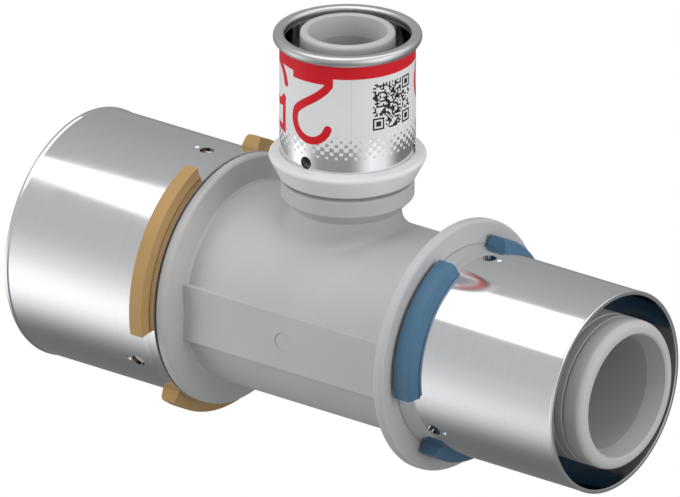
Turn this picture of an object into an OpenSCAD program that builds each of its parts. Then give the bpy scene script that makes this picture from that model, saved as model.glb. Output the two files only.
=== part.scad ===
// Reducing press tee for multilayer pipe: 50 mm run, 40 mm run outlet, 25 mm branch.
// The run lies along X with the large end on -X, the branch stands along +Z,
// and the two axes cross at the origin. All sizes are in millimetres.

/* [Pipes] */
// Outer diameter of the pipe at the large end
large_pipe_d = 50; // [48:0.5:52]
// Wall of the pipe at the large end
large_pipe_wall = 4.5; // [4:0.1:5]
// Outer diameter of the pipe at the small end
small_pipe_d = 40; // [38:0.5:42]
// Wall of the pipe at the small end
small_pipe_wall = 4; // [3.5:0.1:4.5]
// Outer diameter of the pipe on the branch
branch_pipe_d = 25; // [24:0.5:26]
// Wall of the pipe on the branch
branch_pipe_wall = 2.5; // [2.3:0.1:2.8]

/* [Run body] */
// Outer diameter of the barrel between the flanges
barrel_d = 42.8; // [41:0.2:45]
// Distance from the branch axis to the outer face of each flange
flange_reach = 30; // [28:0.5:36]
// Thickness of a flange at its rim
flange_t = 2.5; // [2.2:0.1:3.5]
// How far the flanges stand out past the large sleeve
flange_over = 0.3; // [0.1:0.1:1]
// Rounding of the flange rims
flange_round = 0.8; // [0.4:0.1:1]
// How much thicker a flange is where it meets the barrel
flange_draft = 1; // [0.4:0.1:1.6]
// Chamfer in the corner between flange and barrel
flange_corner = 0.5; // [0.2:0.1:0.8]
// Height of the flat pad on the front of the barrel
pad_h = 12.3; // [8:0.1:16]
// How far the pad stands out of the barrel
pad_proud = 0.35; // [0.2:0.05:0.8]
// Diameter of the round mark left in the pad by the mould
pad_mark_d = 4.4; // [3:0.1:6]
// Depth of the mould mark
pad_mark_depth = 0.15; // [0.1:0.05:0.3]

/* [Waterways] */
// Diameter of the waterway from the large end past the branch
large_bore_d = 32.8; // [31:0.2:33.6]
// Diameter of the waterway at the small end
small_bore_d = 24.8; // [23:0.2:25.4]
// Diameter of the waterway in the branch
branch_bore_d = 15; // [14:0.2:15.4]
// Distance from the branch axis to the start of the reducing cone
reducer_start = 9; // [8.5:0.5:12]
// Length of the reducing cone
reducer_len = 10; // [6:0.5:14]
// How much the mouth of a waterway opens in radius
mouth_open = 0.8; // [0.4:0.1:1]
// Length of the opening cone at a waterway mouth
mouth_len = 4.5; // [3:0.5:6]
// Chamfer on the inner edge of a spigot tip
mouth_chamfer = 0.35; // [0.2:0.05:0.5]

/* [Branch body] */
// Outer diameter of the neck
neck_d = 22.7; // [21.6:0.1:24]
// Radius of the fillet between neck and barrel
neck_fillet = 2.5; // [1.5:0.1:3.2]
// Outer diameter of the branch collar
collar_d = 27.9; // [26.5:0.1:30]
// Height of the collar's upper face above the run axis
collar_top = 30.3; // [29.5:0.1:34]
// Height of the collar's straight rim
collar_t = 3.5; // [2.5:0.1:4]
// Rounding of the collar's edges
collar_round = 0.4; // [0.2:0.05:0.6]

/* [Spigots] */
// Length of a run spigot past its flange face
run_spigot_len = 43.7; // [42.5:0.1:48]
// Length of the branch spigot past the collar
branch_spigot_len = 33.1; // [32.6:0.1:36]
// Radial play between a spigot and the inside of its pipe
spigot_play = 0.05; // [0.02:0.01:0.1]
// How far the spigot root stands out past the spigot
root_step = 0.8; // [0.75:0.05:0.95]
// How far the spigot root ends short of the pipe stop
root_short = 0.1; // [0:0.05:0.4]
// Depth of the gripping grooves
grip_depth = 0.4; // [0.2:0.05:0.5]
// Width of the gripping grooves
grip_w = 0.7; // [0.5:0.1:1]
// Distance from a run spigot's tip to its outermost gripping groove
run_grip_from_tip = 4.9; // [4:0.1:6]
// Distance from the branch spigot's tip to its outermost gripping groove
branch_grip_from_tip = 3.6; // [3:0.1:5]
// Distance between the two gripping grooves near a tip
grip_pitch = 2.2; // [1.4:0.1:2.6]
// Rounding of the outer edge of a run spigot tip
run_tip_round = 1.8; // [1:0.1:2.2]
// Rounding of the outer edge of the branch spigot tip
branch_tip_round = 0.9; // [0.5:0.1:1]

/* [Seal rings] */
// Section of the seal rings at the large end
large_cord_d = 3; // [2.8:0.1:3.2]
// Section of the seal rings at the small end
small_cord_d = 2.6; // [2.4:0.1:2.7]
// Section of the seal rings on the branch
branch_cord_d = 1.8; // [1.6:0.1:1.9]
// How far a seal ring stands out of its spigot
seal_proud = 0.15; // [0.1:0.01:0.18]
// Side room of a seal ring in its groove
seal_side_gap = 0.2; // [0.1:0.05:0.4]
// Radial room under a seal ring
seal_seat_gap = 0.03; // [0.02:0.01:0.08]
// Place of the inner seal ring along a run spigot
run_seal_in = 14; // [12:0.5:16]
// Place of the outer seal ring along a run spigot
run_seal_out = 26; // [23:0.5:29]
// Place of the inner seal ring along the branch spigot
branch_seal_in = 12; // [10.5:0.5:13.5]
// Place of the outer seal ring along the branch spigot
branch_seal_out = 21; // [18.5:0.5:23]

/* [Press sleeves] */
// Wall of the two run sleeves
run_sleeve_wall = 0.8; // [0.7:0.05:1]
// Wall of the branch sleeve
branch_sleeve_wall = 0.75; // [0.65:0.05:0.85]
// Radial room for the pipe inside the large sleeve
large_pipe_room = 0.9; // [0.7:0.05:1.1]
// Radial room for the pipe inside the small sleeve
small_pipe_room = 0.8; // [0.6:0.05:1]
// Radial room for the pipe inside the branch sleeve
branch_pipe_room = 0.81; // [0.6:0.05:0.95]
// Length of a run sleeve
run_sleeve_len = 40.1; // [36:0.1:42]
// Gap between a run sleeve and its flange
sleeve_gap = 0.2; // [0.1:0.05:0.3]
// How much a run sleeve opens out at its flange end
sleeve_flare = 0.35; // [0.2:0.05:0.5]
// Length of that flare
sleeve_flare_len = 2.6; // [1:0.1:3.5]
// Diameter of the inspection holes in the run sleeves
run_peep_d = 3; // [2.4:0.1:3.2]
// Distance from the flange face to the inspection holes
run_peep_at = 7.4; // [7.2:0.1:10]
// Diameter of the inspection holes in the branch sleeve
branch_peep_d = 2.7; // [2:0.1:2.9]
// Distance from the collar to the branch inspection holes
branch_peep_at = 7.7; // [7.5:0.1:9]
// Distance from an inspection hole to the press mark beside it
mark_step = 2.6; // [2.2:0.1:3.5]
// Diameter of a press mark
mark_d = 1.3; // [0.8:0.1:1.6]
// Depth of a press mark
mark_depth = 0.3; // [0.15:0.05:0.4]
// Height of the rolled rim above the collar
rim_top = 32.7; // [31:0.1:33.2]
// How far the rolled rim stands out of the branch sleeve
rim_out = 1.38; // [0.8:0.02:1.6]
// Height of the rolled rim
rim_h = 1.9; // [1.6:0.1:2.4]
// Radius of the bend under the rolled rim
rim_bend = 0.7; // [0.4:0.05:0.8]
// How far the mouth of the branch sleeve opens like a funnel
rim_funnel = 0.7; // [0.3:0.05:0.9]

/* [Stop rings] */
// Distance from the flange face to the pipe stop
run_stop_len = 5.8; // [5.4:0.1:6.8]
// Distance from the collar to the branch pipe stop
branch_stop_len = 5.7; // [5:0.1:6.6]
// Room between a stop ring and the pieces it fits
ring_fit = 0.12; // [0.08:0.01:0.2]
// Sector that one lug covers, in degrees
lug_angle = 78; // [60:1:90]
// How far the large lugs stand out of the sleeve
large_lug_h = 2.9; // [2:0.1:3.4]
// How far the small lugs stand out of the sleeve
small_lug_h = 2.4; // [1.8:0.1:3]
// Distance from the flange face to the large lugs
large_lug_start = 1.5; // [1.2:0.1:1.7]
// Distance from the flange face to the small lugs
small_lug_start = 0.9; // [0.8:0.1:1.7]
// Axial width of the large lugs at their top
large_lug_w = 3.1; // [2.4:0.1:3.3]
// Axial width of the small lugs at their top
small_lug_w = 3.5; // [2.4:0.1:3.6]
// Draft of a lug's outboard side
lug_slope = 0.6; // [0.3:0.1:0.8]
// Bevel along the outboard edge of a lug
lug_bevel = 0.6; // [0.2:0.1:0.9]
// Room round a lug in its slot
slot_fit = 0.15; // [0.1:0.05:0.25]
// Height of the branch cup
cup_h = 5.8; // [5:0.1:6.6]
// Height of the shadow gap under the cup
cup_gap = 0.6; // [0.3:0.1:1]
// How far the top of the cup stands out of the branch sleeve
cup_out = 2.45; // [1.8:0.05:3]
// How far the bottom of the cup stands out of the branch sleeve
cup_foot_out = 0.35; // [0.25:0.05:0.8]
// Height that the cup's top slopes up to the sleeve
cup_slope = 0.6; // [0.3:0.05:1]
// Bevel along the outer edge of the cup
cup_bevel = 0.3; // [0.1:0.05:0.5]
// Height of the cup's floor under the foot of the branch sleeve
cup_floor = 1.4; // [1.2:0.1:2]
// How far the bead on the foot of the branch sleeve stands out
bead_out = 0.35; // [0.2:0.05:0.45]
// Height of that bead
bead_h = 1.2; // [0.8:0.1:1.6]

/* [Marking film] */
// Thickness of the film round the branch sleeve
film_t = 0.12; // [0.08:0.01:0.2]
// Gap between the branch inspection holes and the film
film_clear = 0.15; // [0.1:0.05:1]
// Gap between the film and the rolled rim
film_end_gap = 0.15; // [0.1:0.05:1]
// Radial gap between the film and the sleeve
film_fit = 0.02; // [0.01:0.01:0.04]

/* [Hidden] */
$fn = 96;

lug_count = 3;
first_lug = 150;       // middle of the front lug, measured from +Y toward +Z
first_branch_peep = 270;
overlap = 0.5;         // how deep joined shapes run into each other
cut_past = 1;          // how far a cut runs past the face it opens
fillet_sink = 0.03;    // how deep the edges of the fillet lie under the surfaces it joins

body_grey = [0.72, 0.72, 0.72];
steel = [0.78, 0.79, 0.80];
rubber = [0.09, 0.09, 0.10];
tan = [0.75, 0.58, 0.34];
blue = [0.25, 0.45, 0.58];
cup_white = [0.93, 0.93, 0.93];
film_white = [0.95, 0.95, 0.96];

large_spigot_r = large_pipe_d / 2 - large_pipe_wall - spigot_play;
small_spigot_r = small_pipe_d / 2 - small_pipe_wall - spigot_play;
branch_spigot_r = branch_pipe_d / 2 - branch_pipe_wall - spigot_play;

large_sleeve_in = large_pipe_d / 2 + large_pipe_room;
small_sleeve_in = small_pipe_d / 2 + small_pipe_room;
branch_sleeve_in = branch_pipe_d / 2 + branch_pipe_room;
large_sleeve_r = large_sleeve_in + run_sleeve_wall;
small_sleeve_r = small_sleeve_in + run_sleeve_wall;
branch_sleeve_r = branch_sleeve_in + branch_sleeve_wall;

barrel_r = barrel_d / 2;
flange_r = large_sleeve_r + flange_over;
neck_r = neck_d / 2;
collar_r = collar_d / 2;
collar_low = collar_top - collar_t;
collar_cone = collar_r - neck_r;
sleeve_seat = cup_floor + ring_fit;
film_start = branch_peep_at + branch_peep_d / 2 + film_clear;
film_end = rim_top - rim_h - film_end_gap;

// Points on an arc round (cx, cy), from angle a0 to a1
function arc(cx, cy, r, a0, a1, n = 6) =
    [for (i = [0:n]) let (a = a0 + (a1 - a0) * i / n) [cx + r * cos(a), cy + r * sin(a)]];

// Angle in the frame of one run end, for an angle measured from +Y toward +Z
function end_angle(side, angle) = side > 0 ? angle + 90 : 90 - angle;

// Puts a shape made along +Z at a flange face: +1 is the small end, -1 the large end
module on_run(side) {
    rotate([0, side * 90, 0]) translate([0, 0, flange_reach]) children();
}

// Puts a shape made along +Z at the collar of the branch
module on_branch() {
    translate([0, 0, collar_top]) children();
}

// Square groove for a seal ring, as points of a spigot's outline
function seal_groove(r, at, cord) =
    let (half = cord / 2 + seal_side_gap, floor_r = r + seal_proud - cord - seal_seat_gap)
    [[r, at - half], [floor_r, at - half], [floor_r, at + half], [r, at + half]];

// Saw-tooth groove that grips the pipe, steep on the side away from the tip
function grip_groove(r, at) =
    [[r, at - grip_w / 2], [r - grip_depth, at - grip_w / 4], [r, at + grip_w / 2]];

// Spigot along +Z from its flange or collar, with grooves at the places given
module spigot(r, len, stop_len, tip, cord, seal_in, seal_out, grip_at) {
    root_end = stop_len - root_short;
    rotate_extrude()
        polygon(concat(
            [[0, -overlap], [r + root_step, -overlap], [r + root_step, root_end - root_step], [r, root_end]],
            grip_groove(r, grip_at[0]),
            seal_groove(r, seal_in, cord),
            grip_groove(r, grip_at[1]),
            seal_groove(r, seal_out, cord),
            grip_groove(r, grip_at[2]),
            grip_groove(r, grip_at[3]),
            arc(r - tip, len - tip, tip, 0, 90),
            [[0, len]]));
}

// Cut for a waterway along +Z from the axis crossing, widening in a cone at its mouth
module waterway(r, from, len) {
    rotate_extrude()
        polygon([[0, from], [r, from], [r, len - mouth_len], [r + mouth_open, len - mouth_chamfer],
                 [r + mouth_open + mouth_chamfer + cut_past, len + cut_past], [0, len + cut_past]]);
}

// One run flange, made along +Z with its outer face at z = 0
module flange() {
    inner_z = -flange_t - flange_draft;
    rotate_extrude()
        polygon(concat(
            [[0, 0]],
            arc(flange_r - flange_round, -flange_round, flange_round, 90, 0),
            arc(flange_r - flange_round, flange_round - flange_t, flange_round, 0, -80),
            [[barrel_r + flange_corner, inner_z],
             [barrel_r - overlap, inner_z - flange_corner - overlap],
             [0, inner_z - flange_corner - overlap]]));
}

// Collar and neck of the branch
module neck() {
    cone_low = collar_low - collar_cone;
    rotate_extrude()
        polygon(concat(
            [[0, 0], [neck_r, 0], [neck_r, cone_low]],
            arc(collar_r - collar_round, collar_low + collar_round * 0.4, collar_round, -45, 0, 3),
            arc(collar_r - collar_round, collar_top - collar_round, collar_round, 0, 90, 4),
            [[0, collar_top]]));
}

// Fillet between neck and barrel: the path of a ball that rolls in the corner
function ball_centre(a) =
    let (side_r = neck_r - fillet_sink + neck_fillet, run_r = barrel_r - fillet_sink + neck_fillet)
    [side_r * cos(a), side_r * sin(a), sqrt(run_r * run_r - pow(side_r * sin(a), 2))];
function fillet_point(a, t) =
    let (c = ball_centre(a),
         run_r = barrel_r - fillet_sink + neck_fillet,
         to_neck = [-cos(a), -sin(a), 0],
         to_barrel = [0, -c[1] / run_r, -c[2] / run_r],
         w = acos(to_neck * to_barrel))
    c + neck_fillet * (sin((1 - t) * w) * to_neck + sin(t * w) * to_barrel) / sin(w);

module saddle_fillet() {
    around = 48;
    steps = 6;
    rows = steps + 1;
    ring_points = [for (j = [0:rows - 1], i = [0:around - 1])
        fillet_point(360 * i / around, j / steps)];
    top = [0, 0, neck_r];
    bottom = [0, 0, 0];
    polyhedron(
        points = concat(ring_points, [top, bottom]),
        faces = concat(
            [for (i = [0:around - 1]) [rows * around, (i + 1) % around, i]],
            [for (j = [0:rows - 2], i = [0:around - 1])
                [j * around + i, j * around + (i + 1) % around, (j + 1) * around + i]],
            [for (j = [0:rows - 2], i = [0:around - 1])
                [j * around + (i + 1) % around, (j + 1) * around + (i + 1) % around,
                 (j + 1) * around + i]],
            [for (i = [0:around - 1])
                [(rows - 1) * around + i, (rows - 1) * around + (i + 1) % around, rows * around + 1]]));
}

// Flat pad on the front of the barrel, with the round mark of the mould
module front_pad() {
    reach = flange_reach - flange_t;
    face_y = barrel_r + pad_proud;
    difference() {
        translate([-reach, -face_y, -pad_h / 2])
            cube([2 * reach, face_y / 2, pad_h]);
        translate([0, pad_mark_depth - face_y, 0]) rotate([90, 0, 0])
            cylinder(h = pad_mark_depth + cut_past, d = pad_mark_d);
    }
}

module run_spigot(r, cord) {
    grips = [(run_stop_len + run_seal_in - cord / 2) / 2, (run_seal_in + run_seal_out) / 2,
             run_spigot_len - run_grip_from_tip - grip_pitch, run_spigot_len - run_grip_from_tip];
    spigot(r, run_spigot_len, run_stop_len, run_tip_round, cord, run_seal_in, run_seal_out, grips);
}

module branch_spigot() {
    grips = [(branch_stop_len + branch_seal_in - branch_cord_d / 2) / 2,
             (branch_seal_in + branch_seal_out) / 2,
             branch_spigot_len - branch_grip_from_tip - grip_pitch,
             branch_spigot_len - branch_grip_from_tip];
    spigot(branch_spigot_r, branch_spigot_len, branch_stop_len, branch_tip_round, branch_cord_d,
           branch_seal_in, branch_seal_out, grips);
}

module tee_body() {
    run_tip = flange_reach + run_spigot_len;
    branch_tip = collar_top + branch_spigot_len;
    large_r = large_bore_d / 2;
    small_r = small_bore_d / 2;
    color(body_grey)
        difference() {
            union() {
                rotate([0, 90, 0])
                    cylinder(h = 2 * (flange_reach - flange_t), r = barrel_r, center = true);
                for (side = [-1, 1])
                    on_run(side) flange();
                on_run(-1) run_spigot(large_spigot_r, large_cord_d);
                on_run(1) run_spigot(small_spigot_r, small_cord_d);
                neck();
                saddle_fillet();
                on_branch() branch_spigot();
                front_pad();
            }
            rotate([0, -90, 0]) waterway(large_r, -reducer_start, run_tip);
            rotate([0, 90, 0]) waterway(small_r, 0, run_tip);
            rotate([0, 90, 0]) translate([0, 0, reducer_start])
                cylinder(h = reducer_len, r1 = large_r, r2 = small_r);
            waterway(branch_bore_d / 2, 0, branch_tip);
        }
}

// Axial length of a lug at its foot
function lug_foot(top_w) = top_w + lug_bevel + lug_slope;

// Inspection hole and press mark beside it, at each gap between the lugs
module peep_cuts(r, first, peep_at, peep_d, mark_side) {
    mark_r = (mark_d * mark_d / 4 + mark_depth * mark_depth) / (2 * mark_depth);
    for (i = [0:lug_count - 1])
        rotate([0, 0, first + i * 360 / lug_count]) {
            translate([r - 2 * overlap - run_sleeve_wall, 0, peep_at]) rotate([0, 90, 0])
                cylinder(h = run_sleeve_wall + 3 * overlap + cut_past, d = peep_d);
            if (mark_side)
                translate([r + mark_r - mark_depth, 0, peep_at + mark_step])
                    sphere(r = mark_r);
        }
}

// Stainless sleeve of a run end, opened out toward the flange and slotted for the lugs
module press_sleeve(side, inner_r, outer_r, lug_start, lug_w) {
    z0 = sleeve_gap;
    z1 = z0 + run_sleeve_len;
    flare_end = z0 + sleeve_flare_len;
    slot_sweep = lug_angle + 2 * slot_fit / outer_r * 180 / PI;
    difference() {
        rotate_extrude()
            polygon([[inner_r + sleeve_flare, z0], [outer_r + sleeve_flare, z0],
                     [outer_r, flare_end], [outer_r, z1], [inner_r, z1], [inner_r, flare_end]]);
        for (i = [0:lug_count - 1])
            rotate([0, 0, end_angle(side, first_lug) + i * 360 / lug_count - slot_sweep / 2])
                rotate_extrude(angle = slot_sweep)
                    translate([inner_r - overlap, lug_start - slot_fit])
                        square([outer_r - inner_r + 2 * overlap + sleeve_flare,
                                lug_foot(lug_w) + 2 * slot_fit]);
        peep_cuts(outer_r, end_angle(side, first_lug) + 180 / lug_count, run_peep_at, run_peep_d, true);
    }
}

module press_sleeve_large() {
    color(steel)
        on_run(-1)
            press_sleeve(-1, large_sleeve_in, large_sleeve_r, large_lug_start, large_lug_w);
}

module press_sleeve_small() {
    color(steel)
        on_run(1)
            press_sleeve(1, small_sleeve_in, small_sleeve_r, small_lug_start, small_lug_w);
}

// Branch sleeve with an opened foot that the cup holds and a rolled rim at its mouth
module press_sleeve_branch() {
    inner_r = branch_sleeve_in;
    outer_r = branch_sleeve_r;
    foot = sleeve_seat;
    rim_base = rim_top - rim_h;
    roll = (rim_h - rim_bend) / 2;
    roll_r = outer_r + rim_out - roll;
    color(steel)
        on_branch()
            difference() {
                rotate_extrude()
                    polygon(concat(
                        [[inner_r + bead_out, foot], [outer_r + bead_out, foot],
                         [outer_r + bead_out, foot + bead_h / 2], [outer_r, foot + bead_h],
                         [outer_r, rim_base]],
                        arc(outer_r + rim_bend, rim_base, rim_bend, 170, 100, 4),
                        arc(roll_r, rim_top - roll, roll, -90, 100, 8),
                        [[inner_r + rim_funnel, rim_top - roll * 0.8],
                         [inner_r + rim_funnel / 3, rim_top - rim_h / 2],
                         [inner_r, rim_base], [inner_r, foot + bead_h],
                         [inner_r + bead_out, foot + bead_h / 2]]));
                peep_cuts(outer_r, first_branch_peep, branch_peep_at, branch_peep_d, false);
            }
}

// Moulded ring: a hoop that stops the pipe and three lugs that stand out through the sleeve
module stop_ring(side, spigot_r, sleeve_in, sleeve_out, lug_start, lug_w, lug_h) {
    hoop_in = spigot_r + root_step + ring_fit;
    hoop_out = sleeve_in - ring_fit;
    lug_r = sleeve_out + lug_h;
    lug_end = lug_start + lug_foot(lug_w);
    rotate_extrude()
        translate([hoop_in, 0])
            square([hoop_out - hoop_in, run_stop_len]);
    for (i = [0:lug_count - 1])
        rotate([0, 0, end_angle(side, first_lug) + i * 360 / lug_count - lug_angle / 2])
            rotate_extrude(angle = lug_angle)
                polygon([[hoop_out - overlap, lug_start], [lug_r, lug_start],
                         [lug_r, lug_start + lug_w], [lug_r - lug_bevel, lug_start + lug_w + lug_bevel],
                         [sleeve_out, lug_end], [hoop_out - overlap, lug_end]]);
}

module stop_ring_large() {
    color(tan)
        on_run(-1)
            stop_ring(-1, large_spigot_r, large_sleeve_in, large_sleeve_r,
                      large_lug_start, large_lug_w, large_lug_h);
}

module stop_ring_small() {
    color(blue)
        on_run(1)
            stop_ring(1, small_spigot_r, small_sleeve_in, small_sleeve_r,
                      small_lug_start, small_lug_w, small_lug_h);
}

// Cup on the collar: it holds the foot of the branch sleeve and stops the pipe
module stop_ring_branch() {
    r = branch_sleeve_r;
    hoop_in = branch_spigot_r + root_step + ring_fit;
    hoop_out = branch_sleeve_in - ring_fit;
    pocket_r = r + bead_out + ring_fit;
    bead_top = sleeve_seat + bead_h;
    color(cup_white)
        on_branch()
            rotate_extrude()
                polygon([[hoop_in, 0], [hoop_out, 0], [hoop_out, cup_gap],
                         [r + cup_foot_out, cup_gap],
                         [r + cup_out, cup_h - cup_bevel], [r + cup_out - cup_bevel, cup_h],
                         [r + ring_fit, cup_h + cup_slope],
                         [r + ring_fit, bead_top + ring_fit],
                         [pocket_r, bead_top - bead_h / 2 + ring_fit], [pocket_r, cup_floor],
                         [hoop_out, cup_floor], [hoop_out, branch_stop_len],
                         [hoop_in, branch_stop_len]]);
}

module seal_ring(spigot_r, cord, at) {
    color(rubber)
        translate([0, 0, at])
            rotate_extrude()
                translate([spigot_r + seal_proud - cord / 2, 0])
                    circle(d = cord);
}

module seal_ring_large_inner() { on_run(-1) seal_ring(large_spigot_r, large_cord_d, run_seal_in); }
module seal_ring_large_outer() { on_run(-1) seal_ring(large_spigot_r, large_cord_d, run_seal_out); }
module seal_ring_small_inner() { on_run(1) seal_ring(small_spigot_r, small_cord_d, run_seal_in); }
module seal_ring_small_outer() { on_run(1) seal_ring(small_spigot_r, small_cord_d, run_seal_out); }
module seal_ring_branch_inner() { on_branch() seal_ring(branch_spigot_r, branch_cord_d, branch_seal_in); }
module seal_ring_branch_outer() { on_branch() seal_ring(branch_spigot_r, branch_cord_d, branch_seal_out); }

// Thin film round the branch sleeve that carries the size and the press marking
module marking_film() {
    inner_r = branch_sleeve_r + film_fit;
    color(film_white)
        on_branch()
            rotate_extrude()
                translate([inner_r, film_start])
                    square([film_t, film_end - film_start]);
}

tee_body();
press_sleeve_large();
press_sleeve_small();
press_sleeve_branch();
stop_ring_large();
stop_ring_small();
stop_ring_branch();
seal_ring_large_inner();
seal_ring_large_outer();
seal_ring_small_inner();
seal_ring_small_outer();
seal_ring_branch_inner();
seal_ring_branch_outer();
marking_film();
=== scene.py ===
import math

import bpy
from mathutils import Matrix, Vector


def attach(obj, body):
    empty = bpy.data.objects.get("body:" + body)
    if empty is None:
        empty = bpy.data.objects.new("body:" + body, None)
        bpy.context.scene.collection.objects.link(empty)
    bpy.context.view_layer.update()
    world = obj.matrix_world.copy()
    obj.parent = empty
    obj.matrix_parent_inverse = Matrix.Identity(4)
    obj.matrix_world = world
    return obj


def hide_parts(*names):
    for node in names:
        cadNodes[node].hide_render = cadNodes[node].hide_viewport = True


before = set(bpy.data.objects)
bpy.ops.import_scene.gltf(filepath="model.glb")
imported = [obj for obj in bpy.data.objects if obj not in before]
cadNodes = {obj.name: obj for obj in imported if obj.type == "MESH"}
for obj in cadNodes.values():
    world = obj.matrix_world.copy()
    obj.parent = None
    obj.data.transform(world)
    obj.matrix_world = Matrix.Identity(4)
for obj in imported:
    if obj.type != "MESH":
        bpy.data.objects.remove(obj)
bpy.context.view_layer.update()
mm = 0.001

# the view of the photograph, aimed a little beside the crossing of the two pipe axes
view = {
    "azimuth": 38.142,         # degrees
    "elevation": 22.696,
    "distance": 4.722,         # metres
    "clipEnd": 30.0,
    "lens": 1198.6,
    "aimRight": -1.583 * mm,
    "aimUp": 13.004 * mm,
}


def linkObject(name, data):
    made = bpy.data.objects.new(name, data)
    bpy.context.scene.collection.objects.link(made)
    return made


def addCamera():
    azimuth = math.radians(view["azimuth"])
    elevation = math.radians(view["elevation"])
    right = Vector((math.cos(azimuth), math.sin(azimuth), 0))
    toCamera = Vector((math.sin(azimuth) * math.cos(elevation),
                       -math.cos(azimuth) * math.cos(elevation), math.sin(elevation)))
    up = toCamera.cross(right)
    aim = right * view["aimRight"] + up * view["aimUp"]
    data = bpy.data.cameras.new("productCamera")
    data.lens = view["lens"]
    data.clip_end = view["clipEnd"]
    camera = linkObject("productCamera", data)
    turn = Matrix((right, up, toCamera)).transposed().to_4x4()
    camera.matrix_world = Matrix.Translation(aim + toCamera * view["distance"]) @ turn
    bpy.context.scene.camera = camera


addCamera()
print("camera: azimuth", view["azimuth"], "elevation", view["elevation"])


# small helpers for node trees
def addNode(tree, kind, inputs=None, **settings):
    node = tree.nodes.new(kind)
    for name, value in settings.items():
        setattr(node, name, value)
    for key, value in (inputs or {}).items():
        if isinstance(value, bpy.types.NodeSocket):
            tree.links.new(value, node.inputs[key])
        else:
            node.inputs[key].default_value = value
    return node


def calc(tree, operation, a, b=None, c=None):
    inputs = {i: v for i, v in enumerate((a, b, c)) if v is not None}
    return addNode(tree, "ShaderNodeMath", inputs, operation=operation).outputs[0]


def mapRange(tree, value, fromLow, fromHigh, toLow=0.0, toHigh=1.0):
    return addNode(tree, "ShaderNodeMapRange", {
        "Value": value, "From Min": fromLow, "From Max": fromHigh,
        "To Min": toLow, "To Max": toHigh}).outputs["Result"]


# most of a noise texture lies between 0.3 and 0.7
def fromNoise(tree, noise, toLow=0.0, toHigh=1.0):
    return mapRange(tree, noise, 0.3, 0.7, toLow, toHigh)


def noiseAround(tree, noise, middle, spread):
    return fromNoise(tree, noise, middle - spread, middle + spread)


def mixColor(tree, factor, a, b):
    return addNode(tree, "ShaderNodeMix", {0: factor, 6: a, 7: b}, data_type="RGBA").outputs[2]


def newGroup(name, inputs, outputs):
    group = bpy.data.node_groups.new(name, "ShaderNodeTree")
    for label, kind, value in inputs:
        socket = group.interface.new_socket(label, in_out="INPUT", socket_type=kind)
        if value is not None:
            socket.default_value = value
    for label in outputs:
        group.interface.new_socket(label, in_out="OUTPUT", socket_type="NodeSocketFloat")
    start = group.nodes.new("NodeGroupInput")
    end = group.nodes.new("NodeGroupOutput")
    return group, start, end


def endGroup(group, end, results):
    for label, value in results.items():
        group.links.new(value, end.inputs[label])
    return group


def useGroup(tree, group, inputs):
    return addNode(tree, "ShaderNodeGroup", inputs, node_tree=group)


def newMaterial(name):
    material = bpy.data.materials.new(name)
    material.use_nodes = True
    tree = material.node_tree
    return material, tree, tree.nodes["Principled BSDF"]


def finishSurface(tree, shader, color, roughness, height, bump, bumpDepth):
    bumped = addNode(tree, "ShaderNodeBump",
                     {"Height": height, "Strength": bump, "Distance": bumpDepth * mm})
    tree.links.new(color, shader.inputs["Base Color"])
    tree.links.new(roughness, shader.inputs["Roughness"])
    tree.links.new(bumped.outputs[0], shader.inputs["Normal"])


# fine moulded surface: a soft drift of tone over the piece and a grain that only shows close up
moulding = {
    "grainSize": 0.35,         # mm, where a material gives none of its own
    "driftSize": 14.0,
    "flowsPerDrift": 3.0,
    "roughSpread": 0.03,
    "bumpDepth": 0.02,         # mm
}


def makeMouldedGrain():
    group, start, end = newGroup(
        "mouldedGrain",
        [("Vector", "NodeSocketVector", None),
         ("Grain Size mm", "NodeSocketFloat", moulding["grainSize"]),
         ("Drift Size mm", "NodeSocketFloat", moulding["driftSize"])],
        ["Tone", "Gloss", "Height"])
    grainScale = calc(group, "DIVIDE", 1 / mm, start.outputs["Grain Size mm"])
    driftScale = calc(group, "DIVIDE", 1 / mm, start.outputs["Drift Size mm"])
    flowScale = calc(group, "MULTIPLY", driftScale, moulding["flowsPerDrift"])
    vector = start.outputs["Vector"]
    drift = addNode(group, "ShaderNodeTexNoise",
                    {"Vector": vector, "Scale": driftScale, "Detail": 3.0, "Roughness": 0.5})
    grain = addNode(group, "ShaderNodeTexNoise",
                    {"Vector": vector, "Scale": grainScale, "Detail": 4.0, "Roughness": 0.65})
    flow = addNode(group, "ShaderNodeTexNoise",
                   {"Vector": vector, "Scale": flowScale, "Detail": 2.0})
    return endGroup(group, end, {"Tone": drift.outputs[0], "Gloss": flow.outputs[0],
                                 "Height": grain.outputs[0]})


# drawn and polished sheet: hair lines round the tube, wider bands and a slow smear of the gloss
drawing = {
    "swayScale": 45.0,         # per metre
    "sway": 0.35,              # mm
    "linesPerMm": 9.0,
    "bandsPerMm": 0.9,
    "smearScale": 120.0,       # per metre
}


def makeDrawnSteel():
    group, start, end = newGroup(
        "drawnSteel",
        [("Along mm", "NodeSocketFloat", 0.0), ("Vector", "NodeSocketVector", None)],
        ["Tone", "Gloss", "Height"])
    vector = start.outputs["Vector"]
    sway = addNode(group, "ShaderNodeTexNoise",
                   {"Vector": vector, "Scale": drawing["swayScale"], "Detail": 2.0})
    bent = calc(group, "MULTIPLY_ADD", sway.outputs[0], drawing["sway"], start.outputs["Along mm"])
    lines = addNode(group, "ShaderNodeTexNoise", {
        "W": bent, "Scale": drawing["linesPerMm"], "Detail": 3.0}, noise_dimensions="1D")
    bands = addNode(group, "ShaderNodeTexNoise", {
        "W": bent, "Scale": drawing["bandsPerMm"], "Detail": 2.0}, noise_dimensions="1D")
    smear = addNode(group, "ShaderNodeTexNoise", {
        "Vector": vector, "Scale": drawing["smearScale"], "Detail": 4.0, "Roughness": 0.6})
    return endGroup(group, end, {"Tone": bands.outputs[0], "Gloss": smear.outputs[0],
                                 "Height": lines.outputs[0]})


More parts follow.
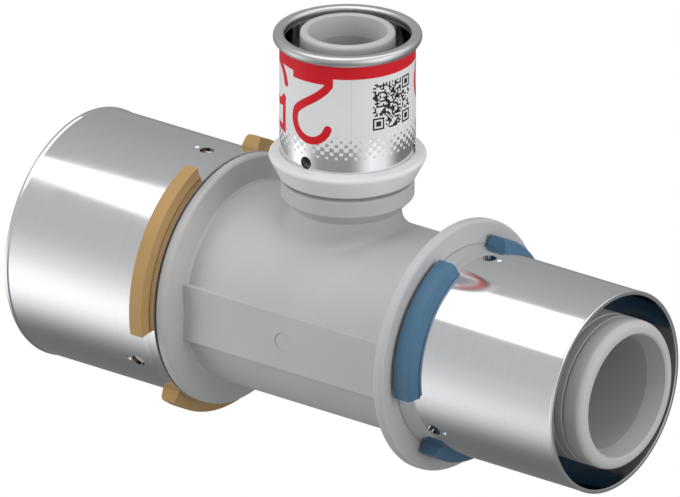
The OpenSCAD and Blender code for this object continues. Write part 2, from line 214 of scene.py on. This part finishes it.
mouldedGrain = makeMouldedGrain()
drawnSteel = makeDrawnSteel()

# the plastics and the rubber, with their grain in mm
bodyLook = {"name": "greyMoulding", "dark": (0.437, 0.437, 0.437), "light": (0.465, 0.465, 0.465),
            "grain": 0.3, "roughness": 0.42, "bump": 0.25}
tanLook = {"name": "tanMoulding", "dark": (0.38, 0.236, 0.092), "light": (0.435, 0.274, 0.11),
           "grain": 0.35, "roughness": 0.45, "bump": 0.35}
blueLook = {"name": "blueMoulding", "dark": (0.048, 0.124, 0.208), "light": (0.062, 0.152, 0.248),
            "grain": 0.35, "roughness": 0.4, "bump": 0.35}
whiteLook = {"name": "whiteMoulding", "dark": (0.66, 0.66, 0.66), "light": (0.71, 0.71, 0.71),
             "grain": 0.3, "roughness": 0.32, "bump": 0.2}
rubberLook = {"name": "sealRubber", "dark": (0.008, 0.008, 0.009), "light": (0.016, 0.016, 0.017),
              "grain": 0.2, "roughness": 0.35, "bump": 0.5}


def plasticMaterial(look):
    material, tree, shader = newMaterial(look["name"])
    place = addNode(tree, "ShaderNodeTexCoord").outputs["Object"]
    grain = useGroup(tree, mouldedGrain, {"Vector": place, "Grain Size mm": look["grain"]})
    tone = fromNoise(tree, grain.outputs["Tone"])
    color = mixColor(tree, tone, (*look["dark"], 1), (*look["light"], 1))
    roughness = noiseAround(tree, grain.outputs["Gloss"],
                            look["roughness"], moulding["roughSpread"])
    finishSurface(tree, shader, color, roughness, grain.outputs["Height"],
                  look["bump"], moulding["bumpDepth"])
    return material


steelLook = {
    "color": (0.80, 0.81, 0.826),
    "lowTone": 0.97,           # share of the color that is left in the darker bands
    "roughness": 0.10,
    "roughSpread": 0.02,
    "bump": 0.02,
    "bumpDepth": 0.01,         # mm
    "rimSatin": 0.25,          # how much duller the rolling leaves the rim
    "satinBlend": 0.2,         # mm
}


def steelMaterial(name, axis, satinFrom=None, paintedShade=1.0):
    material, tree, shader = newMaterial(name)
    place = addNode(tree, "ShaderNodeTexCoord").outputs["Object"]
    parts = addNode(tree, "ShaderNodeSeparateXYZ", {0: place})
    along = calc(tree, "MULTIPLY", parts.outputs[axis], 1 / mm)
    steel = useGroup(tree, drawnSteel, {"Along mm": along, "Vector": place})
    # a factor below one darkens this copy of the steel's colour: painted shade
    base = tuple(c * paintedShade for c in steelLook["color"])
    low = tuple(c * steelLook["lowTone"] for c in base)
    color = mixColor(tree, steel.outputs["Tone"], (*low, 1), (*base, 1))
    roughness = noiseAround(tree, steel.outputs["Gloss"],
                            steelLook["roughness"], steelLook["roughSpread"])
    if satinFrom is not None:
        blend = steelLook["satinBlend"]
        duller = mapRange(tree, along, satinFrom - blend, satinFrom + blend,
                          0.0, steelLook["rimSatin"])
        roughness = calc(tree, "ADD", roughness, duller)
    finishSurface(tree, shader, color, roughness, steel.outputs["Height"],
                  steelLook["bump"], steelLook["bumpDepth"])
    shader.inputs["Metallic"].default_value = 1.0
    return material


def dress(nodeName, material):
    data = cadNodes[nodeName].data
    if not data.materials:
        data.materials.append(material)
    for i in range(len(data.materials)):
        data.materials[i] = material


greyPlastic = plasticMaterial(bodyLook)
whitePlastic = plasticMaterial(whiteLook)
sealRubber = plasticMaterial(rubberLook)
runSteel = steelMaterial("runSteel", "X")
dress("tee_body", greyPlastic)
dress("stop_ring_large", plasticMaterial(tanLook))
dress("stop_ring_small", plasticMaterial(blueLook))
dress("stop_ring_branch", whitePlastic)
dress("press_sleeve_large", runSteel)
dress("press_sleeve_small", runSteel)
dress("press_sleeve_branch", steelMaterial("branchSteel", "Z", satinFrom=61.0))
for nodeName in cadNodes:
    if nodeName.startswith("seal_ring"):
        dress(nodeName, sealRubber)
print("materials:", len(bpy.data.materials))

# the printed film, unrolled: a red band and two large plain numbers, a block of random squares
# and a raster of dots that fades out towards the bare steel; lengths in mm, heights above the run
# axis, boxes as left, right, low, top and bowls as center, radius, first and last angle
film = {
    "radius": 14.2,
    "white": (0.73, 0.735, 0.74),
    "red": (0.6, 0.012, 0.022),
    "black": (0.018, 0.018, 0.02),
    "edgeBlur": 0.06,
    "bandFrom": 57.8,
    "stroke": 0.87,            # half the width of a stroke
    "numbersFrom": -160.0,     # degrees; the numbers come again half a turn further
    "twoBar": (-25.9, -15.9, 56.35, 57.9),
    "twoBowl": (-21.1, 47.55, 4.2, -16, -210),
    "twoNeck": ((-23.8, 50.5), (-22.4, 51.55), (-20.7, 52.65), (-19.1, 53.8), (-17.7, 55.05),
                (-16.8, 56.2)),
    "fiveBar": (-37.2, -29.0, 42.65, 44.15),
    "fiveStem": (-30.5, -28.9, 42.65, 50.9),
    "fiveBowl": (-33.3, 53.2, 4.7, -38, -350),
    "bowlSteps": 14,
    "blockFrom": (-7.5, 46.0),
    "cell": 0.383,
    "cells": 27,
    "blackFrom": 0.44,         # share of the block's cells that stay white
    "cornerSquare": 1.5,       # cells from the middle of a corner's square, as the next two
    "cornerRing": (2.5, 3.5),
    "cornerClear": 4.5,
    "dotsAround": 44,
    "dotPitch": 0.942,
    "dotBlur": 0.12,
    "firstDots": 39.12,
    "fadeFrom": 38.92,
    "dotsTo": 45.3,
    "fade": (0.9, -1.1),       # limit of the raster at the foot and the top of the fade
    "seamAt": -49.0,           # degrees
    "seamEdge": (0.05, 0.12),
}


def bowlPoints(centerX, centerY, radius, startAngle, endAngle):
    steps = film["bowlSteps"]
    sweep = endAngle - startAngle
    turns = [math.radians(startAngle + sweep * i / steps) for i in range(steps + 1)]
    return [(centerX + radius * math.cos(t), centerY + radius * math.sin(t)) for t in turns]


# distance of a point on the unrolled film to one straight piece of a stroke
def makeStrokePiece():
    labels = ("Across", "High", "Start X", "Start Y", "Unit X", "Unit Y", "Length")
    inputs = [(label, "NodeSocketFloat", 0.0) for label in labels]
    group, start, end = newGroup("strokePiece", inputs, ["Distance"])
    across = calc(group, "SUBTRACT", start.outputs["Across"], start.outputs["Start X"])
    high = calc(group, "SUBTRACT", start.outputs["High"], start.outputs["Start Y"])
    along = calc(group, "MULTIPLY_ADD", across, start.outputs["Unit X"],
                 calc(group, "MULTIPLY", high, start.outputs["Unit Y"]))
    along = calc(group, "MINIMUM", calc(group, "MAXIMUM", along, 0.0), start.outputs["Length"])
    offX = calc(group, "SUBTRACT", across, calc(group, "MULTIPLY", along, start.outputs["Unit X"]))
    offY = calc(group, "SUBTRACT", high, calc(group, "MULTIPLY", along, start.outputs["Unit Y"]))
    square = calc(group, "MULTIPLY_ADD", offX, offX, calc(group, "MULTIPLY", offY, offY))
    return endGroup(group, end, {"Distance": calc(group, "SQRT", square)})


strokePiece = makeStrokePiece()


def strokeDistance(tree, across, high, points):
    nearest = None
    for (ax, ay), (bx, by) in zip(points, points[1:]):
        length = math.hypot(bx - ax, by - ay)
        piece = useGroup(tree, strokePiece, {
            "Across": across, "High": high, "Start X": ax, "Start Y": ay,
            "Unit X": (bx - ax) / length, "Unit Y": (by - ay) / length, "Length": length})
        distance = piece.outputs["Distance"]
        nearest = distance if nearest is None else calc(tree, "MINIMUM", nearest, distance)
    return nearest


def boxDistance(tree, across, high, box):
    left, right, low, top = box
    sideways = calc(tree, "ABSOLUTE", calc(tree, "SUBTRACT", across, (left + right) / 2))
    upward = calc(tree, "ABSOLUTE", calc(tree, "SUBTRACT", high, (low + top) / 2))
    return calc(tree, "MAXIMUM", calc(tree, "SUBTRACT", sideways, (right - left) / 2),
                calc(tree, "SUBTRACT", upward, (top - low) / 2))


def insideMask(tree, distance, reach):
    return mapRange(tree, distance, reach - film["edgeBlur"], reach + film["edgeBlur"], 1.0, 0.0)


def redMask(group, turn, high):
    first = math.radians(film["numbersFrom"])
    wrapped = calc(group, "WRAP", turn, first + math.pi, first)
    across = calc(group, "MULTIPLY", wrapped, film["radius"])
    blur = film["edgeBlur"]
    red = mapRange(group, high, film["bandFrom"] - blur, film["bandFrom"] + blur)
    two = bowlPoints(*film["twoBowl"]) + list(film["twoNeck"])
    five = bowlPoints(*film["fiveBowl"])
    for points in (two, five):
        distance = strokeDistance(group, across, high, points)
        red = calc(group, "MAXIMUM", red, insideMask(group, distance, film["stroke"]))
    for box in (film["twoBar"], film["fiveBar"], film["fiveStem"]):
        distance = boxDistance(group, across, high, box)
        red = calc(group, "MAXIMUM", red, insideMask(group, distance, 0.0))
    return red


def blackMask(group, across, high):
    left, low = film["blockFrom"]
    column = calc(group, "DIVIDE", calc(group, "SUBTRACT", across, left), film["cell"])
    row = calc(group, "DIVIDE", calc(group, "SUBTRACT", high, low), film["cell"])
    cell = addNode(group, "ShaderNodeCombineXYZ", {
        "X": calc(group, "FLOOR", column), "Y": calc(group, "FLOOR", row)}).outputs[0]
    chance = addNode(group, "ShaderNodeTexWhiteNoise", {"Vector": cell}, noise_dimensions="2D")
    black = calc(group, "GREATER_THAN", chance.outputs["Value"], film["blackFrom"])
    count = film["cells"]
    near, far = film["cornerRing"][1], count - film["cornerRing"][1]
    for atColumn, atRow in ((near, near), (far, near), (far, far)):  # squares in three corners
        away = boxDistance(group, column, row, (atColumn, atColumn, atRow, atRow))
        ring = calc(group, "MULTIPLY", calc(group, "GREATER_THAN", away, film["cornerRing"][0]),
                    calc(group, "LESS_THAN", away, film["cornerRing"][1]))
        square = calc(group, "MAXIMUM", ring, calc(group, "LESS_THAN", away, film["cornerSquare"]))
        inCorner = calc(group, "LESS_THAN", away, film["cornerClear"])
        black = addNode(group, "ShaderNodeMix", {0: inCorner, 2: black, 3: square}).outputs[0]
    inBlock = calc(group, "LESS_THAN", boxDistance(group, column, row, (0, count, 0, count)), 0.0)
    return calc(group, "MULTIPLY", black, inBlock)


def whiteMask(group, turn, high):
    aboveFirst = calc(group, "SUBTRACT", high, film["firstDots"])
    rows = calc(group, "COSINE", calc(group, "MULTIPLY", aboveFirst, math.pi / film["dotPitch"]))
    columns = calc(group, "COSINE", calc(group, "MULTIPLY", turn, film["dotsAround"]))
    raster = calc(group, "MULTIPLY", rows, columns)
    limit = mapRange(group, high, film["fadeFrom"], film["dotsTo"], *film["fade"])
    return mapRange(group, calc(group, "SUBTRACT", raster, limit),
                    -film["dotBlur"], film["dotBlur"])


def seamMask(group, turn):
    fromSeam = calc(group, "ABSOLUTE", calc(group, "SUBTRACT", turn, math.radians(film["seamAt"])))
    away = calc(group, "MULTIPLY", fromSeam, film["radius"])
    return mapRange(group, away, *film["seamEdge"], 1.0, 0.0)


def makeFilmPrint():
    group, start, end = newGroup("filmPrint", [("Vector", "NodeSocketVector", None)],
                                 ["Red", "Black", "White", "Seam"])
    parts = addNode(group, "ShaderNodeSeparateXYZ", {0: start.outputs["Vector"]})
    turn = calc(group, "ARCTAN2", parts.outputs["Y"], parts.outputs["X"])
    high = calc(group, "MULTIPLY", parts.outputs["Z"], 1 / mm)
    across = calc(group, "MULTIPLY", turn, film["radius"])
    return endGroup(group, end, {
        "Red": redMask(group, turn, high), "Black": blackMask(group, across, high),
        "White": whiteMask(group, turn, high), "Seam": seamMask(group, turn)})


filmLook = {
    "grain": 0.5,              # mm
    "drift": 9.0,
    "cloud": 0.97,             # how far the white drifts down
    "seamShade": 0.13,
    "sheen": (0.13, 0.19),     # roughness of the bare steel
    "matte": 0.42,             # roughness of the print
    "specular": 0.2,
    "bump": 0.12,
    "bumpDepth": 0.01,         # mm
}


def filmMaterial():
    material, tree, shader = newMaterial("printedFilm")
    place = addNode(tree, "ShaderNodeTexCoord").outputs["Object"]
    ink = useGroup(tree, makeFilmPrint(), {"Vector": place})
    parts = addNode(tree, "ShaderNodeSeparateXYZ", {0: place})
    along = calc(tree, "MULTIPLY", parts.outputs["Z"], 1 / mm)
    sheet = useGroup(tree, drawnSteel, {"Along mm": along, "Vector": place})
    grain = useGroup(tree, mouldedGrain, {"Vector": place, "Grain Size mm": filmLook["grain"],
                                          "Drift Size mm": filmLook["drift"]})
    cloudy = fromNoise(tree, grain.outputs["Tone"], filmLook["cloud"], 1.0)
    cloudy = calc(tree, "MULTIPLY_ADD", ink.outputs["Seam"], -filmLook["seamShade"], cloudy)
    paper = addNode(tree, "ShaderNodeVectorMath", {0: film["white"], "Scale": cloudy},
                    operation="SCALE")
    color = mixColor(tree, ink.outputs["White"], (*steelLook["color"], 1), paper.outputs["Vector"])
    color = mixColor(tree, ink.outputs["Red"], color, (*film["red"], 1))
    color = mixColor(tree, ink.outputs["Black"], color, (*film["black"], 1))
    printed = calc(tree, "MAXIMUM", ink.outputs["White"], ink.outputs["Red"])
    sheen = fromNoise(tree, sheet.outputs["Gloss"], *filmLook["sheen"])
    roughness = addNode(tree, "ShaderNodeMix", {0: printed, 2: sheen, 3: filmLook["matte"]})
    finishSurface(tree, shader, color, roughness.outputs[0], grain.outputs["Height"],
                  filmLook["bump"], filmLook["bumpDepth"])
    tree.links.new(calc(tree, "SUBTRACT", 1.0, printed), shader.inputs["Metallic"])
    shader.inputs["Specular IOR Level"].default_value = filmLook["specular"]
    return material


dress("marking_film", filmMaterial())
print("film: band from", film["bandFrom"], "mm,", film["cells"], "squares a side")


# an arm that swings from start to end, both of the same length, at a steady turn
def swing(start, end, share):
    sweep = start.angle(end)
    return (math.sin((1 - share) * sweep) * start + math.sin(share * sweep) * end) / math.sin(sweep)


# the fillet between neck and barrel: a smooth closed skin, fuller than the plain one beneath
fillet = {
    "neckRadius": 11.35,       # mm
    "barrelRadius": 21.4,
    "ballRadius": 3.2,
    "thickness": 0.5,
    "sink": 0.03,
    "proud": 0.035,
    "edge": 0.1,               # share of the arc over which each edge dips under its neighbour
    "around": 192,
    "steps": 20,
}


def filletPoint(turn, share, radius):
    sideReach = fillet["neckRadius"] - fillet["sink"] + fillet["ballRadius"]
    runReach = fillet["barrelRadius"] - fillet["sink"] + fillet["ballRadius"]
    centerY = sideReach * math.sin(turn)
    center = Vector((sideReach * math.cos(turn), centerY, math.sqrt(runReach ** 2 - centerY ** 2)))
    toNeck = Vector((-math.cos(turn), -math.sin(turn), 0))
    toBarrel = Vector((0, -center.y, -center.z)) / runReach
    inward = swing(toNeck, toBarrel, share)
    return (center + radius * inward) * mm, -inward


def addFilletSkin():
    steps, around = fillet["steps"], fillet["around"]
    points, normals, faces = [], [], []
    for under in (0.0, fillet["thickness"]):  # the outer skin, then the one inside the body
        for j in range(steps + 1):
            share = j / steps
            dip = max(0.0, 1 - min(share, 1 - share) / fillet["edge"])
            radius = fillet["ballRadius"] - fillet["proud"] + under + 2 * fillet["proud"] * dip ** 2
            for i in range(around):
                point, normal = filletPoint(2 * math.pi * i / around, share, radius)
                points.append(point)
                normals.append(normal if under == 0 else -normal)

    def corner(layer, j, i):
        return (layer * (steps + 1) + j) * around + i % around

    for i in range(around):
        for j in range(steps):
            faces.append((corner(0, j, i), corner(0, j + 1, i),
                          corner(0, j + 1, i + 1), corner(0, j, i + 1)))
            faces.append((corner(1, j, i), corner(1, j, i + 1),
                          corner(1, j + 1, i + 1), corner(1, j + 1, i)))
        faces.append((corner(0, 0, i), corner(0, 0, i + 1), corner(1, 0, i + 1), corner(1, 0, i)))
        faces.append((corner(0, steps, i), corner(1, steps, i),
                      corner(1, steps, i + 1), corner(0, steps, i + 1)))
    data = bpy.data.meshes.new("neckFillet")
    data.from_pydata(points, [], faces)
    data.shade_smooth()
    data.normals_split_custom_set_from_vertices(normals)
    data.materials.append(greyPlastic)
    skin = linkObject("neckFillet", data)
    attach(skin, "root")


addFilletSkin()
print("fillet: ball radius", fillet["ballRadius"], "mm")


# a closed outline whose corners are given as radius, height and rounding, in mm
def roundCorners(corners, steps=6):
    points = []
    for i, (across, high, rounding) in enumerate(corners):
        here = Vector((across, high))
        if rounding == 0:
            points.append(here)
            continue
        before = (Vector(corners[i - 1][:2]) - here).normalized()
        after = (Vector(corners[(i + 1) % len(corners)][:2]) - here).normalized()
        half = before.angle(after) / 2
        center = here + (before + after).normalized() * rounding / math.sin(half)
        start = here + before * rounding / math.tan(half) - center
        end = here + after * rounding / math.tan(half) - center
        points.extend(center + swing(start, end, k / steps) for k in range(steps + 1))
    return points


sharpFrom = 35                 # degrees between two faces


# turns a closed outline round the z axis, then puts the ring in its place
def addTurned(name, profile, around, place, material):
    points, faces = [], []
    count = len(profile)
    for i in range(around):
        turn = 2 * math.pi * i / around
        for across, high in profile:
            points.append((across * math.cos(turn) * mm, across * math.sin(turn) * mm, high * mm))
        for j in range(count):
            k, n = (j + 1) % count, (i + 1) % around
            faces.append((i * count + j, n * count + j, n * count + k, i * count + k))
    data = bpy.data.meshes.new(name)
    data.from_pydata(points, [], faces)
    data.transform(place)
    data.shade_smooth()
    data.set_sharp_from_angle(angle=math.radians(sharpFrom))
    data.materials.append(material)
    made = linkObject(name, data)
    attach(made, "root")
    return made


# the white cup with a rounded lip and a deeper shadow gap, on the collar
cup = {
    "collarTop": 30.3,         # mm above the run axis
    "corners": ((11.0, 0, 0), (12.2, 0, 0), (12.2, 1.0, 0), (14.4, 1.0, 0.25), (16.8, 5.7, 0.8),
                (14.08, 6.4, 0.1), (14.08, 2.84, 0), (14.53, 2.2, 0), (14.53, 1.4, 0),
                (13.19, 1.4, 0), (13.19, 5.7, 0.2), (11.0, 5.7, 0.2)),
    "around": 160,
}
onCollar = Matrix.Translation((0, 0, cup["collarTop"] * mm))
roundedCup = addTurned("roundedCup", roundCorners(cup["corners"]), cup["around"],
                       onCollar, whitePlastic)
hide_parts("stop_ring_branch")

# the rolled rim of the branch sleeve, a fuller roll laid over the plain one
rim = {
    "middleRadius": 14.37,     # mm
    "middleHeight": 61.9,
    "halfWide": 1.17,
    "upper": (1.17, 3.0),      # height and fullness: two is an ellipse and more is boxier
    "lower": (1.3, 1.6),
    "around": 160,
    "steps": 40,
    "satinFrom": 60.0,
    "paintedShade": 0.8,
}


def rollPoints():
    points = []
    for k in range(rim["steps"]):
        turn = 2 * math.pi * k / rim["steps"]
        wide, high = math.cos(turn), math.sin(turn)
        reach, fullness = rim["upper"] if high > 0 else rim["lower"]
        wide = math.copysign(abs(wide) ** (2 / fullness), wide)
        high = math.copysign(abs(high) ** (2 / fullness), high)
        points.append(Vector((rim["middleRadius"] + rim["halfWide"] * wide,
                              rim["middleHeight"] + reach * high)))
    return points


# the rim's steel is the run steel darkened: painted shade that dims the rim's reflections
rimSteel = steelMaterial("rimSteel", "Z", satinFrom=rim["satinFrom"], paintedShade=rim["paintedShade"])
addTurned("rolledRim", rollPoints(), rim["around"], Matrix.Identity(4), rimSteel)

# the bead along the mouth of a run sleeve, where the sheet was trimmed and turned out
bead = {
    "large": (0.2, 0.7),       # mm proud of the sleeve, and width
    "small": (0.07, 0.35),
    "skin": 0.03,              # mm that it covers of the mouth's end and inside
    "innerRound": 0.15,
    "outerRound": 0.36,        # share of the width
    "tail": 0.5,               # mm that it runs on into the sleeve's wall
    "tailSink": 0.1,
    "mouthDepth": 0.2,
    "around": 224,
}


def addMouthBead(name, sleeve, side, size):
    proud, wide = size
    corners = [v.co for v in cadNodes[sleeve].data.vertices]
    mouth = max(side * c.x for c in corners)
    wall = [math.hypot(c.y, c.z) / mm for c in corners
            if side * c.x > mouth - bead["mouthDepth"] * mm]
    inner, outer = min(wall) - bead["skin"], max(wall) + proud
    rounding, end = wide * bead["outerRound"], wide + bead["tail"]
    profile = roundCorners(((inner, 0, bead["innerRound"]), (outer, 0, rounding),
                            (outer, wide, rounding), (max(wall) - bead["tailSink"], end, 0),
                            (inner, end, 0)))
    place = Matrix.Translation((side * (mouth + bead["skin"] * mm), 0, 0))
    place = place @ Matrix.Rotation(-side * math.pi / 2, 4, "Y")
    addTurned(name, profile, bead["around"], place, runSteel)


addMouthBead("largeMouthBead", "press_sleeve_large", -1, bead["large"])
addMouthBead("smallMouthBead", "press_sleeve_small", 1, bead["small"])
print("cup, rim and mouth beads turned")

# the studio, in metres: a floor far below, and glowing grey walls, a softbox and glowing cards that
# only gloss sees
studio = {
    "floorAt": -1.62,
    "floorHalf": 6.0,
    "floorPaint": 0.9,
    "floorRoughness": 0.9,
    "wallRadius": 1.6,
    "wallRings": 48,
    "wallAround": 96,
    # the walls glow darker towards the bottom and brighter at the front: painted shade and painted
    # light for the reflections
    "wallTones": ((0.0, 0.15), (0.12, 0.19), (0.30, 0.25), (0.42, 0.37), (0.5, 0.46),
                  (0.75, 0.49), (1.0, 0.54)),  # from the bottom to the top
    "frontShare": 0.25,        # how much brighter the walls are at the front
    "softboxHeight": 1.0,
    "softboxLight": 1.7,
    "softboxCorners": ((-0.865, -1.7), (0.5, -1.7), (0.5, 1.3), (-0.61, 0.127),
                       (-0.865, -0.268)),  # shares of the height
    "cardReach": 3,            # half a card's side in spreads of its glow
    "worldLight": 0.4,
    "lampAim": (0, 0, 0.01),
}
glows = {
    "leftGlow": {"at": (-0.42, -0.33, -0.21), "spread": 0.165, "light": 1.4},
    "rightGlow": {"at": (0.9, -0.02, 0.02), "spread": 0.4, "light": 1.6},
    "backGlow": {"at": (0.7, 0.62, 0.5), "spread": 0.24, "light": 1.5},
}
lamps = {
    "topLamp": {"at": (0, -0.1, 1.4), "size": (1.2, 1.2), "power": 10.0},
    "leftLamp": {"at": (-1.1, -1.0, 0.4), "size": (0.9, 0.9), "power": 12.4},
    "rightLamp": {"at": (1.45, -0.1, 0.45), "size": (1.0, 1.0), "power": 12.8},
}
white = (1, 1, 1, 1)


def newGlowMaterial(name):
    material, tree, shader = newMaterial(name)
    tree.nodes.remove(shader)
    material.cycles.emission_sampling = "NONE"
    return material, tree, tree.nodes["Material Output"].inputs["Surface"]


def addStagePiece(name, points, faces, material):
    data = bpy.data.meshes.new(name)
    data.from_pydata(points, [], faces)
    data.materials.append(material)
    made = linkObject(name, data)
    return made


def onlyForGloss(thing):
    thing.visible_camera = False
    thing.visible_diffuse = False
    thing.visible_transmission = False
    thing.visible_volume_scatter = False
    thing.visible_shadow = False


def flatCorners(half, z=0.0):
    return [(-half, -half, z), (half, -half, z), (half, half, z), (-half, half, z)]


# one where the camera, a reflection or a clear piece looks, and zero for diffuse light
def seenWhite(tree):
    path = addNode(tree, "ShaderNodeLightPath").outputs
    turned = calc(tree, "MAXIMUM", path["Is Glossy Ray"], path["Is Transmission Ray"])
    return calc(tree, "MAXIMUM", path["Is Camera Ray"], turned)


def addFloor():
    material, tree, shader = newMaterial("paleFloor")
    paint = studio["floorPaint"]
    shader.inputs["Base Color"].default_value = (paint, paint, paint, 1)
    shader.inputs["Roughness"].default_value = studio["floorRoughness"]
    glow = addNode(tree, "ShaderNodeEmission", {"Color": white, "Strength": 1.0})
    mix = addNode(tree, "ShaderNodeMixShader",
                  {0: seenWhite(tree), 1: shader.outputs[0], 2: glow.outputs[0]})
    tree.links.new(mix.outputs[0], tree.nodes["Material Output"].inputs["Surface"])
    material.cycles.emission_sampling = "NONE"
    corners = flatCorners(studio["floorHalf"], studio["floorAt"])
    addStagePiece("studioFloor", corners, [(0, 1, 2, 3)], material)


def addWalls():
    rings, around, radius = studio["wallRings"], studio["wallAround"], studio["wallRadius"]
    points, faces = [], []
    for i in range(rings + 1):
        polar = math.pi * i / rings
        for j in range(around):
            turn = 2 * math.pi * j / around
            points.append((radius * math.sin(polar) * math.cos(turn),
                           radius * math.sin(polar) * math.sin(turn), radius * math.cos(polar)))
    for i in range(rings):
        for j in range(around):
            k = (j + 1) % around
            faces.append((i * around + j, (i + 1) * around + j,
                          (i + 1) * around + k, i * around + k))
    material, tree, surface = newGlowMaterial("studioWallGlow")
    place = addNode(tree, "ShaderNodeTexCoord").outputs["Object"]
    parts = addNode(tree, "ShaderNodeSeparateXYZ", {0: place})
    level = calc(tree, "DIVIDE", parts.outputs["Z"], radius)
    ramp = addNode(tree, "ShaderNodeValToRGB", {"Fac": calc(tree, "MULTIPLY_ADD", level, 0.5, 0.5)})
    for i, (at, grey) in enumerate(studio["wallTones"]):
        stop = ramp.color_ramp.elements[i] if i < 2 else ramp.color_ramp.elements.new(at)
        stop.position = at
        stop.color = (grey, grey, grey, 1)
    toFront = calc(tree, "MULTIPLY_ADD", parts.outputs["Y"], -studio["frontShare"] / radius, 1.0)
    glow = addNode(tree, "ShaderNodeEmission", {"Color": ramp.outputs[0], "Strength": toFront})
    tree.links.new(glow.outputs[0], surface)
    onlyForGloss(addStagePiece("studioWalls", points, faces, material))


def addSoftbox():
    h = studio["softboxHeight"]
    points = [(x * h, y * h, h) for x, y in studio["softboxCorners"]]
    material, tree, surface = newGlowMaterial("softboxCloth")
    glow = addNode(tree, "ShaderNodeEmission", {"Color": white, "Strength": studio["softboxLight"]})
    tree.links.new(glow.outputs[0], surface)
    onlyForGloss(addStagePiece("softbox", points, [tuple(range(len(points)))], material))


# a soft round glow on a card: brightest in its middle and clear at its edge
def addGlow(name, look):
    center = Vector(look["at"])
    direction = center.normalized()
    side = direction.cross(Vector((0, 0, 1))).normalized()
    up = side.cross(direction)
    material, tree, surface = newGlowMaterial(name + "Light")
    place = addNode(tree, "ShaderNodeTexCoord").outputs["Object"]
    square = addNode(tree, "ShaderNodeVectorMath", {0: place, 1: place}, operation="DOT_PRODUCT")
    fade = calc(tree, "MULTIPLY", square.outputs["Value"], -0.5 / look["spread"] ** 2)
    glow = addNode(tree, "ShaderNodeEmission", {"Color": white, "Strength": look["light"]})
    clear = addNode(tree, "ShaderNodeBsdfTransparent")
    mix = addNode(tree, "ShaderNodeMixShader",
                  {0: calc(tree, "EXPONENT", fade), 1: clear.outputs[0], 2: glow.outputs[0]})
    tree.links.new(mix.outputs[0], surface)
    corners = flatCorners(look["spread"] * studio["cardReach"])
    card = addStagePiece(name, corners, [(0, 1, 2, 3)], material)
    turn = Matrix((side, up, direction)).transposed().to_4x4()
    card.matrix_world = Matrix.Translation(center) @ turn
    onlyForGloss(card)


def addLamp(name, look):
    data = bpy.data.lights.new(name, "AREA")
    data.shape = "RECTANGLE"
    data.size, data.size_y = look["size"]
    data.energy = look["power"]
    lamp = linkObject(name, data)
    lamp.location = look["at"]
    toLamp = Vector(look["at"]) - Vector(studio["lampAim"])
    lamp.rotation_euler = toLamp.to_track_quat("Z", "Y").to_euler()
    lamp.visible_glossy = False


def setWorld():
    world = bpy.data.worlds.new("whiteStudio")
    bpy.context.scene.world = world
    world.use_nodes = True
    tree = world.node_tree
    background = tree.nodes["Background"]
    strength = mapRange(tree, seenWhite(tree), 0, 1, studio["worldLight"], 1.0)
    tree.links.new(strength, background.inputs["Strength"])
    background.inputs["Color"].default_value = white


addFloor()
addWalls()
addSoftbox()
for name, look in glows.items():
    addGlow(name, look)
for name, look in lamps.items():
    addLamp(name, look)
setWorld()
bpy.context.scene.view_settings.view_transform = "Standard"
print("studio: floor at", studio["floorAt"])
